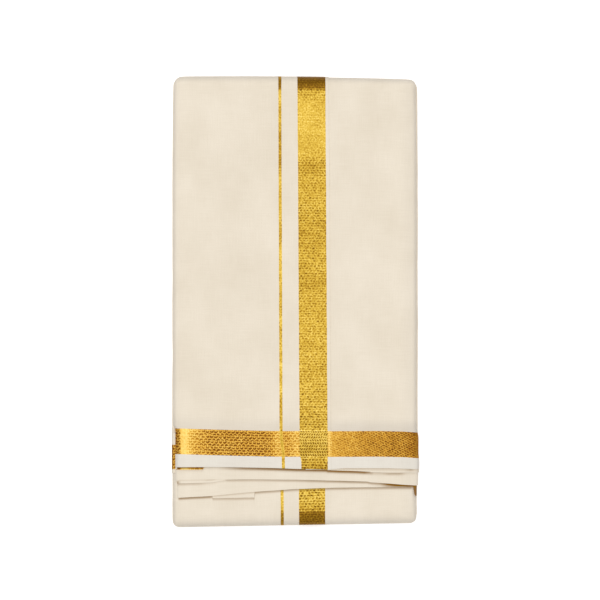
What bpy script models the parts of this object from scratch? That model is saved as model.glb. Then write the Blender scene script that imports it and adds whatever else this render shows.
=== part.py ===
"""A folded dhoti: a long cream cotton cloth with gold woven borders.

The cloth is folded lengthwise to a strip. The strip is wound flat, and its free
end lies on the front, short of the bottom fold. Everything is in metres. X runs
across the packet, Y along it with the top fold at +Y, and Z is up. The packet
rests on its underside at Z = 0, with the origin at the middle of its box.
"""

import math

import bmesh
import bpy

# Whole packet.
PACK_WIDTH = 0.2242
PACK_LENGTH = 0.4122
PACK_HEIGHT = 0.0210
LOWER_HEIGHT = 0.0166
SIDE_ROUND = 0.0065
TOP_REACH = 0.0105
LOWER_REACH = 0.0145

# Cloth.
CLOTH_WALL = 0.0010
BACK_WALL = 0.0013
GAP = 0.0003
UNDER_PLY_DEPTH = 0.0003
CORE_DEPTH = 0.0016
END_PLY_STEP = CLOTH_WALL + GAP

# Woven zones, measured across the packet from its middle line.
LINE_WIDTH = 0.0036
BORDER_WIDTH = 0.0256
SELVEDGE_WIDTH = 0.0028
LINE_TOP_X, LINE_FREE_X, LINE_LOWER_X = -0.0139, -0.0126, -0.0116
BORDER_TOP_X, BORDER_FREE_X, BORDER_LOWER_X = 0.0150, 0.0172, 0.0157

# Free end on the front.
END_BAND_TOP_Y = -0.1186
END_BAND_HEIGHT = 0.0237
HIDDEN_END_Y = -0.1275
CORE_STEP_TOP_Y = -0.1215
SIDE_TUCK = 0.0031
SIDE_BULGE = 0.0012
RIGHT_BULGE = 0.0023
TUCK_START_Y, TUCK_END_Y = -0.1130, -0.1290

# Angle at which the outer ply stops on the rounded long side.
SKIN_ANGLE = 56.0
SIDE_STEPS = 4

# Angle between rows round the two folded ends, and where the outer ply's turn stops.
TURN_STEP = 18.0
TURN_END = 176.0

# Lower edges of the plies of the free end, as (x, y) along each edge.
HEM_EDGE = [(-0.109, -0.1531), (-0.050, -0.1534), (0.000, -0.1551), (0.033, -0.1556)]
UNDER_HEM_EDGE = [(0.033, -0.1547), (0.070, -0.1541), (0.113, -0.1533)]
SECOND_EDGE = [
    (-0.1085, -0.1669),
    (-0.0730, -0.1642),
    (0.0000, -0.1645),
    (0.0690, -0.1654),
    (0.1015, -0.1684),
    (0.1128, -0.1700),
]
THIRD_EDGE = [
    (-0.1070, -0.1803),
    (-0.0760, -0.1792),
    (-0.0370, -0.1756),
    (0.0000, -0.1733),
    (0.0320, -0.1722),
    (0.1120, -0.1721),
]
CORNER_EDGE = [(-0.075, -0.1826), (-0.0366, -0.1806)]
CORNER_X = (-0.0750, -0.0366)

CREAM = (0.83, 0.73, 0.60)
HEM_WHITE = (0.81, 0.75, 0.66)
GOLD = (0.68, 0.42, 0.09)
BAND_GOLD = (0.57, 0.31, 0.06)

TOP_TURN_Y = PACK_LENGTH / 2 - TOP_REACH
LOWER_TURN_Y = -PACK_LENGTH / 2 + LOWER_REACH


def blend(value, start, end):
    """A smooth step from 0 at start to 1 at end."""
    t = min(1.0, max(0.0, (value - start) / (end - start)))
    return t * t * (3 - 2 * t)


def along(table, x):
    """The value at x on a line given as (x, value) pairs in rising x."""
    if x <= table[0][0]:
        return table[0][1]
    for (x0, y0), (x1, y1) in zip(table, table[1:]):
        if x <= x1:
            return y0 + (y1 - y0) * (x - x0) / (x1 - x0)
    return table[-1][1]


# Lines across the packet, as functions of y: outline and zone edges.


def left_side(y):
    """Left outline of the packet."""
    return -PACK_WIDTH / 2 - 0.0003 + 0.0006 * blend(abs(y), 0.13, 0.20)


def right_side(y):
    """Right outline of the packet."""
    return PACK_WIDTH / 2 + 0.0003 - 0.0006 * blend(abs(y), 0.13, 0.20)


def front_left(y):
    """Left edge of the top ply, which is tucked in at its free end."""
    return left_side(y) + SIDE_TUCK * blend(-y, -TUCK_START_Y, -TUCK_END_Y)


def front_right(y):
    """Right edge of the under ply, which stands out at its free end."""
    return right_side(y) + RIGHT_BULGE * blend(-y, -TUCK_START_Y, -TUCK_END_Y)


def drift(top_x, low_x, low_y):
    """The middle of a woven stripe, going straight from the top fold to low_y."""
    top_y = PACK_LENGTH / 2

    def middle(y):
        return low_x + (top_x - low_x) * (y - low_y) / (top_y - low_y)

    return middle


LINE_FRONT = drift(LINE_TOP_X, LINE_FREE_X, -0.155)
BORDER_FRONT = drift(BORDER_TOP_X, BORDER_FREE_X, -0.155)
LINE_BACK = drift(LINE_TOP_X, LINE_LOWER_X, -PACK_LENGTH / 2)
BORDER_BACK = drift(BORDER_TOP_X, BORDER_LOWER_X, -PACK_LENGTH / 2)


def beside(middle, offset):
    """The line at an offset from a stripe's middle."""
    return lambda y: middle(y) + offset


def level(value):
    """A line across the packet at one y."""
    return lambda x: value


def end_band_top(x):
    """Upper edge of the gold end band."""
    return END_BAND_TOP_Y - 0.0080 * (x + 0.10) * (x < 0.035)


def end_band_low(x):
    """Lower edge of the gold end band."""
    return end_band_top(x) - END_BAND_HEIGHT


# A row is one line across the cloth: (line y(x), reach, half height, sin, cos).
# A level row has sin 0 and cos 1 on the front or -1 on the back.


def level_rows(start, end, count, height, side=1.0):
    """Rows between two lines across the packet, on the front or the back."""
    rows = []
    for i in range(count + 1):
        t = i / count
        rows.append(
            (lambda x, t=t: start(x) * (1 - t) + end(x) * t, 0.0, height / 2, 0.0, side)
        )
    return rows


def turn_rows(y, reach, height, last):
    """Rows round a fold, by angle from the front face up to last, in degrees."""
    rows = []
    for step in [TURN_STEP * i for i in range(int(180 / TURN_STEP))] + [last]:
        angle = math.radians(step)
        rows.append((level(y), reach, height / 2, math.sin(angle), math.cos(angle)))
    return rows


def place(row, x, depth):
    """The point of a row at x, at a depth under the outer face."""
    line, reach, half, sine, cosine = row
    sign = -1.0 if reach < 0 else 1.0
    out = sign * max(abs(reach) - depth, 0.0) if reach else 0.0
    return (x, line(x) + out * sine, half + (half - depth) * cosine)


def row_y(row, x):
    """The y at which a row's outline is read."""
    line, reach, _, sine, _ = row
    return line(x) + reach * sine


def spread(start, end, count):
    """Columns between two lines of the cloth, each a function of (y, depth)."""
    columns = []
    for i in range(count + 1):
        t = i / count
        columns.append(
            lambda y, depth, t=t: (start(y) * (1 - t) + end(y) * t, depth)
        )
    return columns


def round_side(edge, side, last, count, radius=SIDE_ROUND):
    """Columns from the flat over the rounded long side; side is -1 or 1."""
    columns = []
    for i in range(count + 1):
        angle = math.radians(last * i / count)

        def column(y, depth, angle=angle):
            inner = radius - depth
            x = edge(y) - side * (radius - inner * math.sin(angle))
            return x, radius - inner * math.cos(angle)

        columns.append(column)
    return columns


def from_left(edge, end, flat, last=SKIN_ANGLE, radius=SIDE_ROUND):
    """Columns of a zone that starts over the left side."""
    side = round_side(edge, -1, last, SIDE_STEPS, radius)[::-1]
    start = beside(edge, radius)
    return side + spread(start, end, flat)[1:]


def to_right(start, edge, flat, last=SKIN_ANGLE, radius=SIDE_ROUND):
    """Columns of a zone that ends over the right side."""
    side = round_side(edge, 1, last, SIDE_STEPS, radius)
    return spread(start, beside(edge, -radius), flat)[:-1] + side


def new_object(name, mesh, colour, roughness, metallic):
    """Links a finished mesh to the scene with its own material."""
    data = bpy.data.meshes.new(name)
    bmesh.ops.recalc_face_normals(mesh, faces=mesh.faces)
    mesh.to_mesh(data)
    mesh.free()
    obj = bpy.data.objects.new(name, data)
    bpy.context.collection.objects.link(obj)
    material = bpy.data.materials.new(name)
    material.use_nodes = True
    shader = material.node_tree.nodes["Principled BSDF"]
    shader.inputs["Base Color"].default_value = (*colour, 1)
    shader.inputs["Roughness"].default_value = roughness
    shader.inputs["Metallic"].default_value = metallic
    data.materials.append(material)
    return obj


def grid_points(rows, columns, depth):
    """Points of one face of a sheet."""
    points = []
    for row in rows:
        line = []
        for column in columns:
            x = column(row_y(row, 0.0), depth)[0]
            x, under = column(row_y(row, x), depth)
            line.append(place(row, x, under))
        points.append(line)
    return points


def sheet(name, rows, columns, depth, wall, colour=CREAM, gold=False):
    """A closed wall of cloth between two depths under the outer face."""
    mesh = bmesh.new()
    faces = []
    for under in (depth, depth + wall):
        face = grid_points(rows, columns, under)
        faces.append([[mesh.verts.new(p) for p in line] for line in face])
    outer, inner = faces
    high, wide = len(rows) - 1, len(columns) - 1
    for i in range(high):
        for j in range(wide):
            for grid in faces:
                mesh.faces.new(
                    (grid[i][j], grid[i][j + 1], grid[i + 1][j + 1], grid[i + 1][j])
                )
    for i in range(high):
        for j in (0, wide):
            mesh.faces.new((outer[i][j], outer[i + 1][j], inner[i + 1][j], inner[i][j]))
    for j in range(wide):
        for i in (0, high):
            mesh.faces.new((outer[i][j], outer[i][j + 1], inner[i][j + 1], inner[i][j]))
    return new_object(name, mesh, colour, 0.45 if gold else 0.85, 0.6 if gold else 0.0)


def core_half(y):
    """Half the packet's height at y, which steps down under the free end."""
    step = (PACK_HEIGHT - LOWER_HEIGHT) / 2
    return PACK_HEIGHT / 2 - step * blend(-y, -CORE_STEP_TOP_Y, -HIDDEN_END_Y - 0.0009)


def core_rows():
    """Closed loop of rows round the inner folds."""
    rows = []
    stops = [TOP_TURN_Y - i * (TOP_TURN_Y + 0.112) / 10 for i in range(11)]
    stops += [CORE_STEP_TOP_Y, -0.1235, -0.1252, HIDDEN_END_Y + 0.0008]
    stops += [-0.1420, -0.1560, -0.1700, -0.1810]
    for y in stops:
        rows.append((level(y), 0.0, core_half(y), 0.0, 1.0))
    rows += turn_rows(LOWER_TURN_Y, -LOWER_REACH, LOWER_HEIGHT, 180.0)
    for i in range(1, 12):
        y = LOWER_TURN_Y + (TOP_TURN_Y - LOWER_TURN_Y) * i / 12
        rows.append((level(y), 0.0, core_half(y), 0.0, -1.0))
    rows += turn_rows(TOP_TURN_Y, TOP_REACH, PACK_HEIGHT, 180.0)[:0:-1]
    return rows


def core_depth(half, depth):
    """Squeezes the deep rings where the packet is thin."""
    start = 0.0043
    if depth <= start:
        return depth
    full = PACK_HEIGHT / 2
    return start + (depth - start) * (half - start) / (full - start)


def core_columns():
    """(side, inset, depth) across the inner folds, with folds along the sides."""
    half = []
    inner = SIDE_ROUND - CORE_DEPTH
    for i in range(SIDE_STEPS + 1):
        turn = math.radians(SKIN_ANGLE * i / SIDE_STEPS)
        half.append(
            (SIDE_ROUND - inner * math.sin(turn), SIDE_ROUND - inner * math.cos(turn))
        )
    inset, depth = half[-1]
    folds = 4
    last = 0.0097
    for fold in range(folds):
        start = depth + (last - depth) * fold / folds
        end = depth + (last - depth) * (fold + 1) / folds
        out = 0.0006 + 0.0008 * (fold % 2)
        half.append((max(out + 0.0008, inset - 0.0012 * (fold == 0)), start + 0.0002))
        half.append((out, start * 0.5 + end * 0.5))
        half.append((out + 0.0008, end - 0.0002))
    left = [(-1, a, d) for a, d in reversed(half)]
    middle = [(0, t, CORE_DEPTH) for t in (0.25, 0.5, 0.75)]
    right = [(1, a, d) for a, d in half]
    return left + middle + right


def inner_folds():
    """The hidden turns of the strip as one solid."""
    mesh = bmesh.new()
    rows, columns = core_rows(), core_columns()
    rings = []
    for side, inset, depth in columns:
        ring = []
        for row in rows:
            y = row_y(row, 0.0)
            left, right = left_side(y), right_side(y)
            if row[1] == 0.0 and row[4] > 0 and y > CORE_STEP_TOP_Y - 0.0040:
                left, right = front_left(y), front_right(y)
            if side < 0:
                x = left + inset
            elif side > 0:
                x = right - inset
            else:
                start, end = left + SIDE_ROUND, right - SIDE_ROUND
                x = start + (end - start) * inset
            ring.append(mesh.verts.new(place(row, x, core_depth(row[2], depth))))
        rings.append(ring)
    count = len(rows)
    for a, b in zip(rings, rings[1:]):
        for i in range(count):
            k = (i + 1) % count
            mesh.faces.new((a[i], a[k], b[k], b[i]))
    mesh.faces.new(rings[0])
    mesh.faces.new(rings[-1])
    return new_object("inner_folds", mesh, CREAM, 0.85, 0.0)


def stripes(line, border):
    """Edges of the woven zones round the line and the border band."""
    return {
        "line_left": beside(line, -LINE_WIDTH / 2),
        "line_right": beside(line, LINE_WIDTH / 2),
        "border_left": beside(border, -BORDER_WIDTH / 2),
        "border_right": beside(border, BORDER_WIDTH / 2),
        "selvedge": beside(border, BORDER_WIDTH / 2 + SELVEDGE_WIDTH),
    }


def inset(line, amount):
    """A zone edge moved by half a gap."""
    return lambda y: line(y) + amount


def zone(start, end, count):
    """Columns of a zone inside the cloth, half a gap in from both edges."""
    return spread(inset(start, GAP / 2), inset(end, -GAP / 2), count)


def front_stretch():
    """Top ply, from its free end over the top fold to the underside."""
    edge = stripes(LINE_FRONT, BORDER_FRONT)
    top = turn_rows(TOP_TURN_Y, TOP_REACH, PACK_HEIGHT, TURN_END)
    hem = lambda x: along(HEM_EDGE, x)
    field_low = lambda x: end_band_top(x) + GAP / 2
    band_top = lambda x: end_band_top(x) - GAP / 2
    band_low = lambda x: end_band_low(x) + GAP / 2
    hem_top = lambda x: end_band_low(x) - GAP / 2
    field = level_rows(field_low, level(TOP_TURN_Y), 10, PACK_HEIGHT)[:-1] + top
    whole = level_rows(hem, level(TOP_TURN_Y), 12, PACK_HEIGHT)[:-1] + top
    band = level_rows(band_low, band_top, 3, PACK_HEIGHT)
    tail = level_rows(hem, hem_top, 2, PACK_HEIGHT)
    left = from_left(front_left, inset(edge["line_left"], -GAP / 2), 4)
    gap = zone(edge["line_right"], edge["border_left"], 2)
    sheet("front_field", field, left, 0, CLOTH_WALL)
    sheet("front_gap", field, gap, 0, CLOTH_WALL)
    sheet("end_band_left", band, left, 0, CLOTH_WALL, BAND_GOLD, True)
    sheet("end_band_gap", band, gap, 0, CLOTH_WALL, BAND_GOLD, True)
    sheet("hem_left", tail, left, 0, CLOTH_WALL, HEM_WHITE)
    sheet("hem_gap", tail, gap, 0, CLOTH_WALL, HEM_WHITE)
    line = zone(edge["line_left"], edge["line_right"], 1)
    sheet("front_line", whole, line, 0, CLOTH_WALL, GOLD, True)
    border = zone(edge["border_left"], edge["border_right"], 3)
    sheet("front_border", whole, border, 0, CLOTH_WALL, GOLD, True)
    selvedge = zone(edge["border_right"], edge["selvedge"], 1)
    sheet("front_selvedge", whole, selvedge, 0, CLOTH_WALL)


def under_ply():
    """Ply that shows right of the top ply's selvedge, a little deeper."""
    edge = stripes(LINE_FRONT, BORDER_FRONT)
    top = turn_rows(TOP_TURN_Y, TOP_REACH, PACK_HEIGHT, TURN_END)
    low = level(-0.1196 + GAP / 2)
    band_low = level(-0.1430)
    hem = lambda x: along(UNDER_HEM_EDGE, x)
    right = to_right(inset(edge["selvedge"], GAP / 2), front_right, 4)
    field = level_rows(low, level(TOP_TURN_Y), 10, PACK_HEIGHT)[:-1] + top
    band = level_rows(level(-0.1430 + GAP / 2), level(-0.1196 - GAP / 2), 3, PACK_HEIGHT)
    tail = level_rows(hem, lambda x: band_low(x) - GAP / 2, 2, PACK_HEIGHT)
    depth = UNDER_PLY_DEPTH
    sheet("under_field", field, right, depth, CLOTH_WALL)
    sheet("end_band_right", band, right, depth, CLOTH_WALL, BAND_GOLD, True)
    sheet("hem_right", tail, right, depth, CLOTH_WALL, HEM_WHITE)


def peeping_band():
    """Gold end band of the next ply, standing out of the left side."""
    edge = lambda y: -PACK_WIDTH / 2 - SIDE_BULGE - 0.0003
    rows = level_rows(level(-0.1537), level(-0.1308), 4, PACK_HEIGHT - 0.0026)
    radius = 0.0040
    columns = round_side(edge, -1, 84, 5, radius)[::-1]
    sheet("end_band_under", rows, columns, 0, CLOTH_WALL, BAND_GOLD, True)


def fanned_plies():
    """Plies of the free end that show below the hem."""
    second = lambda x: along(SECOND_EDGE, x)
    third = lambda x: along(THIRD_EDGE, x)
    corner = lambda x: along(CORNER_EDGE, x)
    plies = [
        ("end_ply_second", second, 42, CORE_DEPTH),
        ("end_ply_third", third, 25, CORE_DEPTH + END_PLY_STEP),
    ]
    for name, low, angle, depth in plies:
        rows = level_rows(low, level(HIDDEN_END_Y), 4, PACK_HEIGHT)
        middle = level(0.0)
        left = from_left(front_left, middle, 4, angle)
        right = to_right(middle, front_right, 4, angle)
        sheet(name, rows, left + right[1:], depth, CLOTH_WALL)
    top = lambda x: third(x) - GAP
    rows = level_rows(corner, top, 1, PACK_HEIGHT)
    columns = spread(level(CORNER_X[0]), level(CORNER_X[1]), 3)
    depth = CORE_DEPTH + END_PLY_STEP + 0.0002
    sheet("end_corner", rows, columns, depth, CLOTH_WALL)


def round_the_packet(prefix, rows, wall):
    """The five zones of a stretch where the outer ply goes right across."""
    edge = stripes(LINE_BACK, BORDER_BACK)
    left = from_left(left_side, inset(edge["line_left"], -GAP / 2), 4)
    right = to_right(inset(edge["border_right"], GAP / 2), right_side, 4)
    gap = zone(edge["line_right"], edge["border_left"], 1)
    line = zone(edge["line_left"], edge["line_right"], 1)
    border = zone(edge["border_left"], edge["border_right"], 2)
    sheet(prefix + "_left", rows, left, 0, wall)
    sheet(prefix + "_line", rows, line, 0, wall, GOLD, True)
    sheet(prefix + "_gap", rows, gap, 0, wall)
    sheet(prefix + "_border", rows, border, 0, wall, GOLD, True)
    sheet(prefix + "_right", rows, right, 0, wall)


def lower_and_back():
    """The turn round the bottom fold, and the underside."""
    lower = level_rows(
        level(HIDDEN_END_Y - 0.0003), level(LOWER_TURN_Y), 6, LOWER_HEIGHT
    )[:-1]
    lower += turn_rows(LOWER_TURN_Y, -LOWER_REACH, LOWER_HEIGHT, TURN_END)
    round_the_packet("lower", lower, BACK_WALL)
    start = level(LOWER_TURN_Y + 0.0006)
    end = level(TOP_TURN_Y - 0.0006)
    back = level_rows(start, end, 8, PACK_HEIGHT, -1.0)
    round_the_packet("back", back, BACK_WALL)


def main():
    """Clears the scene and builds every piece."""
    for obj in list(bpy.data.objects):
        bpy.data.objects.remove(obj)
    inner_folds()
    front_stretch()
    under_ply()
    peeping_band()
    fanned_plies()
    lower_and_back()


main()
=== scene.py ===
"""Visual model of a folded cream cotton dhoti with gold zari borders.

The packet is a strip of cloth, folded lengthwise and wound flat. Each stretch of
cloth that shows is one thin sheet, laid on the form that the frame gives.
"""

import logging
import math
from dataclasses import dataclass, replace
from enum import Enum
from typing import Callable, Iterator

import bmesh
import bpy
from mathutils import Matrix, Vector, noise


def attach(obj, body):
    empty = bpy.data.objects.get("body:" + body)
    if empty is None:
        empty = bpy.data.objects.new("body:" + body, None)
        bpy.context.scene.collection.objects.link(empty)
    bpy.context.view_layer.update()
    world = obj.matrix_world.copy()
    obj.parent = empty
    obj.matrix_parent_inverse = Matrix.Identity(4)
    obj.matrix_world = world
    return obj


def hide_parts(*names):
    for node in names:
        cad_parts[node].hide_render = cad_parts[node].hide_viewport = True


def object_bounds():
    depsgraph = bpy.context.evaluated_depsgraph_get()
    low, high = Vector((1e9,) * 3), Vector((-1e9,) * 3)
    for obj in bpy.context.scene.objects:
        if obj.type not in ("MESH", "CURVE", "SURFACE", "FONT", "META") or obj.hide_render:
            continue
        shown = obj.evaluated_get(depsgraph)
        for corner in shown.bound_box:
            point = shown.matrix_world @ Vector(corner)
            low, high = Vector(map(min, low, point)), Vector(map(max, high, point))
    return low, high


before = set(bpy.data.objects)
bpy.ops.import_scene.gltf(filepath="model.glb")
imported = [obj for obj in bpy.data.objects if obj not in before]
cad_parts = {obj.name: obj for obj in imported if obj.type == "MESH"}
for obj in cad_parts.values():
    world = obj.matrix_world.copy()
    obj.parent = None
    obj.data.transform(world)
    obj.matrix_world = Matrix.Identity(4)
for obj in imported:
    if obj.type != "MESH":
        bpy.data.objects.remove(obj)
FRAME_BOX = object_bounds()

log = logging.getLogger("dhoti")

Line = Callable[[float], float]
Colour = tuple[float, float, float]
Table = tuple[tuple[float, float], ...]
Socket = bpy.types.NodeSocket
Piece = bpy.types.Object

WEAVE_MAP = "Weave"
GLOW = "glow"
SHADE = "shade"
GREY_SHADE = "dim"
DASH = "dash"


class Zone(Enum):
    """Woven zones of the cloth, each with its own finish."""

    COTTON = 0
    HEM = 1
    BORDER = 2
    LINE = 3
    END_BAND = 4
    CROSSING = 5
    END_BAND_RIGHT = 6


class Side(Enum):
    """The two long sides of the packet."""

    LEFT = -1
    RIGHT = 1


def blend(value: float, start: float, end: float) -> float:
    """Steps smoothly from 0 at start to 1 at end.

    Args:
        value: Where to read the step.
        start: Where it leaves 0.
        end: Where it reaches 1.

    Returns:
        The height of the step, from 0 to 1.
    """
    t = min(1.0, max(0.0, (value - start) / (end - start)))
    return t * t * (3 - 2 * t)


def along(table: Table, x: float) -> float:
    """Reads a line given by its corner points.

    Args:
        table: Pairs of place and value, in rising places.
        x: Where to read it.

    Returns:
        The value at x, level past both ends.
    """
    if x <= table[0][0]:
        return table[0][1]
    for (x0, y0), (x1, y1) in zip(table, table[1:]):
        if x <= x1:
            return y0 + (y1 - y0) * (x - x0) / (x1 - x0)
    return table[-1][1]


def level(value: float) -> Line:
    """A line across the packet at one place."""
    return lambda x: value


def shifted(line: Line, amount: float) -> Line:
    """A line moved by an amount."""
    return lambda x: line(x) + amount


def between(start: Line, end: Line, part: float) -> Line:
    """A line that lies a part of the way from one line to another."""
    return lambda x: start(x) * (1 - part) + end(x) * part


def read_from(table: Table) -> Line:
    """A line through the corner points of a table."""
    return lambda x: along(table, x)


def ripple(x: float, y: float, size: float, seed: float) -> float:
    """Smooth unevenness of cloth.

    Args:
        x: Place across the packet.
        y: Place along it.
        size: Length of one swell in metres.
        seed: Which pattern.

    Returns:
        A value between about -1 and 1.
    """
    return noise.noise(Vector((x / size, y / size, seed)))


def linear(red: int, green: int, blue: int) -> Colour:
    """Turns a colour as a screen shows it, 0 to 255, into a linear one.

    Args:
        red: Red level.
        green: Green level.
        blue: Blue level.

    Returns:
        The linear colour.
    """

    def channel(level_8: int) -> float:
        """One level as linear light."""
        c = level_8 / 255
        return c / 12.92 if c <= 0.04045 else ((c + 0.055) / 1.055) ** 2.4

    return channel(red), channel(green), channel(blue)


@dataclass(frozen=True)
class PacketForm:
    """Outline and thickness of the folded packet, in metres."""

    width: float = 0.2242
    length: float = round(FRAME_BOX[1][1] - FRAME_BOX[0][1], 4)
    height: float = round(FRAME_BOX[1][2] - FRAME_BOX[0][2], 4)
    lower_height: float = 0.0176
    side_round: float = 0.0065
    slack: float = 0.0003
    # The top fold bows a little and droops at its corners.
    top_reach: float = 0.0105
    top_slope: float = -0.0100
    top_crown: float = -0.095
    corner_start: float = 0.0970
    corner_reach: float = 0.0101
    corner_drop: float = 0.0004
    lower_reach: float = 0.0135
    lower_slope: float = 0.0175
    # Both sides waver, and draw in a little towards the ends.
    waver: float = 0.00025
    waver_size: float = 0.05
    taper: float = 0.0007
    taper_start: float = 0.12
    taper_end: float = 0.20
    left_cut: float = 0.0010
    left_cut_start: float = 0.196
    left_cut_end: float = 0.2065
    # The free end is tucked in at the left and stands out at the right.
    tuck: float = 0.0021
    fold_start: float = 0.1140
    fold_end: float = 0.1176
    bulge: float = 0.0020
    bulge_start: float = 0.1130
    bulge_end: float = 0.1260
    hem_bulge: float = 0.0008
    hem_bulge_start: float = 0.138
    hem_bulge_end: float = 0.149

    def top_turn(self, x: float) -> float:
        """Where the cloth starts to turn over the top fold, crowned and round-cornered."""
        corner = max(0.0, (abs(x) - self.corner_start) / self.corner_reach) ** 2
        bow = self.top_slope * x + self.top_crown * x * x
        return self.length / 2 - self.top_reach + bow - self.corner_drop * corner

    def lower_turn(self, x: float) -> float:
        """Where the cloth starts to turn round the bottom fold."""
        return self.slack - self.length / 2 + self.lower_reach + self.lower_slope * x

    def left_side(self, y: float) -> float:
        """Left outline of the packet."""
        wave = self.waver * ripple(0.0, y, self.waver_size, 1.0)
        taper = self.taper * blend(y, self.taper_start, self.taper_end)
        cut = self.left_cut * blend(y, self.left_cut_start, self.left_cut_end)
        return -self.width / 2 - self.slack + (taper + cut) + wave

    def right_side(self, y: float) -> float:
        """Right outline of the packet."""
        wave = self.waver * ripple(0.0, y, self.waver_size, 2.0)
        taper = self.taper * blend(abs(y), self.taper_start, self.taper_end)
        return self.width / 2 + self.slack - taper + wave

    def front_left(self, y: float) -> float:
        """Left edge of the top ply, tucked in at its free end."""
        return self.left_side(y) + self.tuck * blend(-y, self.fold_start, self.fold_end)

    def front_right(self, y: float) -> float:
        """Right edge of the under ply, which stands out at its free end."""
        out = self.bulge * blend(-y, self.bulge_start, self.bulge_end)
        hem_out = self.hem_bulge * blend(-y, self.hem_bulge_start, self.hem_bulge_end)
        return self.right_side(y) + out + hem_out


FORM = PacketForm()


@dataclass(frozen=True)
class Row:
    """One line of cloth across the packet.

    Attributes:
        line: Its place along the packet, as a function of x.
        half: Half the packet's height there.
        reach: How far a fold stands out past the line, negative at the bottom fold.
        sine: Sine of the angle round the fold.
        cosine: Cosine of it, 1 on the front and -1 on the back.
        dip: How far the cloth sinks there.
        shade: Depth of painted shade where the cloth creases, as a function of x.
        dim: Depth of painted grey shade on the cloth there, as a function of x.
    """

    line: Line
    half: float
    reach: float = 0.0
    sine: float = 0.0
    cosine: float = 1.0
    dip: float = 0.0
    shade: Line = level(0.0)
    dim: Line = level(0.0)

    def y(self, x: float) -> float:
        """The place along the packet at which outlines are read."""
        return self.line(x) + self.reach * self.sine

    def place(self, x: float, depth: float) -> Vector:
        """Gives a point of the row.

        Args:
            x: Place across the packet.
            depth: Depth under the outer face.

        Returns:
            The point.
        """
        under = depth + self.dip
        sign = -1.0 if self.reach < 0 else 1.0
        out = sign * max(abs(self.reach) - under, 0.0) if self.reach else 0.0
        z = self.half + (self.half - under) * self.cosine
        return Vector((x, self.line(x) + out * self.sine, z))


@dataclass(frozen=True)
class Column:
    """One line of cloth along the packet.

    Attributes:
        line: Its place across the packet, as a function of y.
        side: Which long side it belongs to, or 0 on the flat.
        angle: Angle round the long side, in radians.
        radius: Radius of that rounding.
    """

    line: Line
    side: int = 0
    angle: float = 0.0
    radius: float = FORM.side_round

    def at(self, y: float, depth: float) -> tuple[float, float]:
        """Gives x and the true depth of a point.

        Args:
            y: Place along the packet.
            depth: Depth under the cloth's outer face.

        Returns:
            The place across, and the depth under the level face.
        """
        if not self.side:
            return self.line(y), depth
        inner = self.radius - depth
        x = self.line(y) - self.side * (self.radius - inner * math.sin(self.angle))
        return x, self.radius - inner * math.cos(self.angle)


@dataclass
class Strip:
    """Lines of cloth with the woven zone between each and the next."""

    lines: list
    zones: list


def joined(*strips: Strip) -> Strip:
    """Joins strips, each of which starts on the last line of the one before."""
    lines = strips[0].lines[:1]
    zones = []
    for strip in strips:
        lines = lines + strip.lines[1:]
        zones = zones + strip.zones
    return Strip(lines, zones)


def flat_columns(start: Line, end: Line, count: int, zone: str) -> Strip:
    """Columns between two lines of the cloth.

    Args:
        start: Left line.
        end: Right line.
        count: How many cells.
        zone: Name of the zone between them.

    Returns:
        The strip.
    """
    lines = [Column(between(start, end, i / count)) for i in range(count + 1)]
    return Strip(lines, [zone] * count)


def banded_columns(lines: list[Line], bands: list[tuple[int, str]]) -> Strip:
    """Columns across several zones that lie side by side.

    Args:
        lines: The edges of the zones, from left to right.
        bands: For each zone, how many cells it has and its name.

    Returns:
        The strip.
    """
    pairs = zip(lines, lines[1:], bands)
    return joined(*(flat_columns(a, b, count, zone) for a, b, (count, zone) in pairs))


def side_columns(
    edge: Line, side: Side, last: float, count: int, radius: float = FORM.side_round
) -> Strip:
    """Columns from the flat down over a rounded long side.

    Args:
        edge: Outline of that side.
        side: Which side.
        last: Angle at which the cloth stops, in degrees.
        count: How many cells.
        radius: Radius of the rounding.

    Returns:
        The strip, in rising x.
    """
    angles = [math.radians(last * i / count) for i in range(count + 1)]
    lines = [Column(edge, side.value, angle, radius) for angle in angles]
    if side is Side.LEFT:
        lines.reverse()
    return Strip(lines, ["side"] * count)


def level_rows(
    start: Line, end: Line, count: int, half: float, zone: str = "field", cosine: float = 1.0
) -> Strip:
    """Rows between two lines across the packet.

    Args:
        start: Lower line.
        end: Upper line.
        count: How many cells.
        half: Half the packet's height.
        zone: Name of the zone between them.
        cosine: 1 on the front, -1 on the back.

    Returns:
        The strip.
    """
    lines = [between(start, end, i / count) for i in range(count + 1)]
    return Strip([Row(line, half, cosine=cosine) for line in lines], [zone] * count)


def turn_rows(line: Line, reach: float, half: float) -> Strip:
    """Rows round one of the folded ends.

    Args:
        line: Where the turn starts.
        reach: How far it stands out, negative at the bottom fold.
        half: Half the packet's height.

    Returns:
        The strip.
    """
    count, last = 24, 178
    angles = [math.radians(last * i / count) for i in range(count + 1)]
    rows = [Row(line, half, reach, math.sin(a), math.cos(a)) for a in angles]
    return Strip(rows, ["turn"] * count)


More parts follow.
